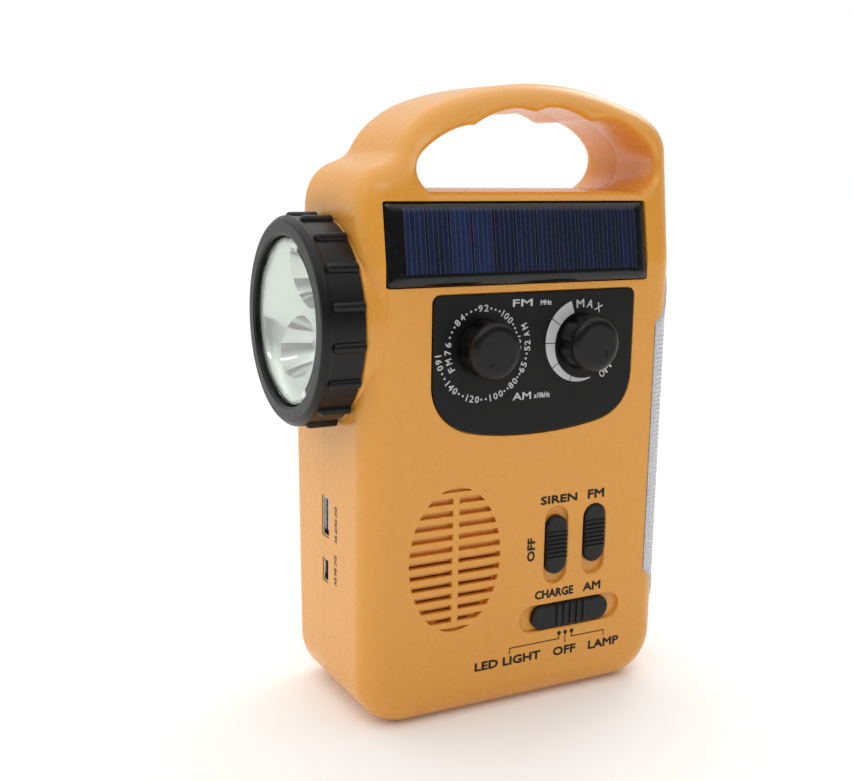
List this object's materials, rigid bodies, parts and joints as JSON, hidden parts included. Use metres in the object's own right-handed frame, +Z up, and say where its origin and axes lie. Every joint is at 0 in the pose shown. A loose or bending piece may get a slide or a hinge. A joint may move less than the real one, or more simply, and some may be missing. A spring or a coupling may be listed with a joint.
{
  "type": "emergency radio",
  "caption": "Hand-cranked, solar-charged portable radio with a carry handle, side torch, side lamp strip, round dials and slide switches.",
  "frame": {"origin": "middle of the flat base, on the surface the radio stands on", "axes": "+X to the right seen from the front, +Y from the front face into the radio, +Z up towards the handle"},
  "size_m": [0.1303, 0.0758, 0.2046],
  "materials": {
    "orange_shell": "satin moulded ABS",
    "black_plastic": "satin black moulded plastic",
    "black_plate": "gloss black plate with printed dials",
    "solar_cell": "resin-coated solar cells",
    "clear_plastic": "clear polycarbonate",
    "reflector_chrome": "vacuum-metallised plastic",
    "bright_metal": "plated steel",
    "steel": "bare steel",
    "brass": "turned",
    "copper_wire": "enamelled copper winding",
    "circuit_board": "solder-masked board",
    "white_plastic": "moulded plastic",
    "led_epoxy": "clear white LED",
    "speaker_paper": "black paper cone",
    "ferrite": "sintered ferrite",
    "cell_wrap": "shrink sleeve"
  },
  "bodies": {
    "root": {"front_housing": "orange_shell", "rear_housing": "orange_shell", "solar_panel": "solar_cell", "control_plate": "black_plate", "siren_switch_body": "steel", "band_switch_body": "steel", "light_switch_body": "steel", "torch_bezel": "black_plastic", "torch_lens": "clear_plastic", "torch_reflector": "reflector_chrome", "torch_led_1": "led_epoxy", "torch_led_2": "led_epoxy", "torch_led_3": "led_epoxy", "torch_led_board": "circuit_board", "lamp_lens": "clear_plastic", "lamp_tray": "white_plastic", "lamp_led_board": "white_plastic", "usb_out_port": "bright_metal", "dc_in_port": "bright_metal", "charge_board": "circuit_board", "speaker_frame": "steel", "speaker_cone": "speaker_paper", "speaker_magnet": "steel", "main_board": "circuit_board", "tuning_capacitor": "white_plastic", "volume_pot": "steel", "ferrite_rod": "ferrite", "ferrite_coil": "copper_wire", "battery_cell_1": "cell_wrap", "battery_cell_2": "cell_wrap", "battery_cell_3": "cell_wrap", "battery_contact_left": "steel", "battery_contact_right": "steel", "gearbox_plate": "steel", "generator_can": "steel", "compound_axle": "steel", "housing_screw_1": "steel", "housing_screw_2": "steel", "housing_screw_3": "steel", "housing_screw_4": "steel", "housing_screw_5": "steel"},
    "tuning_knob": {"tuning_knob": "black_plastic"},
    "volume_knob": {"volume_knob": "black_plastic"},
    "siren_switch": {"siren_switch_button": "black_plastic"},
    "band_switch": {"band_switch_button": "black_plastic"},
    "light_switch": {"light_switch_button": "black_plastic"},
    "crank": {"crank_arm": "black_plastic", "crank_pin": "steel", "drive_gear": "white_plastic"},
    "compound_gear": {"compound_gear": "white_plastic"},
    "rotor": {"generator_rotor": "steel", "rotor_pinion": "brass"},
    "knob_spindle": {"knob_spindle": "steel"},
    "crank_knob": {"crank_knob": "black_plastic"},
    "antenna_base": {"antenna_base": "bright_metal"},
    "antenna_1": {"antenna_section_1": "bright_metal"},
    "antenna_2": {"antenna_section_2": "bright_metal"},
    "antenna_3": {"antenna_section_3": "bright_metal"},
    "antenna_4": {"antenna_section_4": "bright_metal"},
    "battery_door": {"battery_door": "orange_shell"}
  },
  "joints": [
    {"name": "tuning_turn", "type": "hinge", "parent": "root", "child": "tuning_knob", "pos_m": [-0.0179, -0.036, 0.1227], "axis": [0, 1, 0], "range_deg": [-145, 35]},
    {"name": "volume_turn", "type": "hinge", "parent": "root", "child": "volume_knob", "pos_m": [0.0193, -0.036, 0.1227], "axis": [0, 1, 0], "range_deg": [0, 255]},
    {"name": "siren_slide", "type": "slide", "parent": "root", "child": "siren_switch", "axis": [0, 0, 1], "range_m": [-0.003, 0.003]},
    {"name": "band_slide", "type": "slide", "parent": "root", "child": "band_switch", "axis": [0, 0, 1], "range_m": [-0.0041, 0]},
    {"name": "light_slide", "type": "slide", "parent": "root", "child": "light_switch", "axis": [1, 0, 0], "range_m": [-0.003, 0.003]},
    {"name": "crank_spin", "type": "hinge", "parent": "root", "child": "crank", "pos_m": [0, 0.02, 0.1], "axis": [0, 1, 0], "continuous": true},
    {"name": "compound_spin", "type": "hinge", "parent": "root", "child": "compound_gear", "pos_m": [0.01401, 0.012, 0.07573], "axis": [0, 1, 0], "continuous": true},
    {"name": "rotor_spin", "type": "hinge", "parent": "root", "child": "rotor", "pos_m": [0.03527, 0, 0.08347], "axis": [0, 1, 0], "continuous": true},
    {"name": "knob_fold", "type": "hinge", "parent": "crank", "child": "knob_spindle", "pos_m": [0, 0.0253, 0.066], "axis": [-1, 0, 0], "range_deg": [0, 90]},
    {"name": "grip_spin", "type": "hinge", "parent": "knob_spindle", "child": "crank_knob", "pos_m": [0, 0.0253, 0.078], "axis": [0, 0, 1], "continuous": true},
    {"name": "antenna_turn", "type": "hinge", "parent": "root", "child": "antenna_base", "pos_m": [-0.043, 0.0265, 0.156], "axis": [1, 0, 0], "range_deg": [-45, 60]},
    {"name": "antenna_tilt", "type": "hinge", "parent": "antenna_base", "child": "antenna_1", "pos_m": [-0.038, 0.0265, 0.156], "axis": [0, 0, 1], "range_deg": [0, 90]},
    {"name": "antenna_slide_2", "type": "slide", "parent": "antenna_1", "child": "antenna_2", "axis": [1, 0, 0], "range_m": [0, 0.068]},
    {"name": "antenna_slide_3", "type": "slide", "parent": "antenna_2", "child": "antenna_3", "axis": [1, 0, 0], "range_m": [0, 0.068]},
    {"name": "antenna_slide_4", "type": "slide", "parent": "antenna_3", "child": "antenna_4", "axis": [1, 0, 0], "range_m": [0, 0.066]},
    {"name": "battery_door_pull", "type": "slide", "parent": "root", "child": "battery_door", "axis": [0, 1, 0], "range_m": [0, 0.02]}
  ],
  "couplings": [
    {"joint": "compound_spin", "follows": "crank_spin", "ratio": -4.1667},
    {"joint": "rotor_spin", "follows": "crank_spin", "ratio": 16.667}
  ]
}
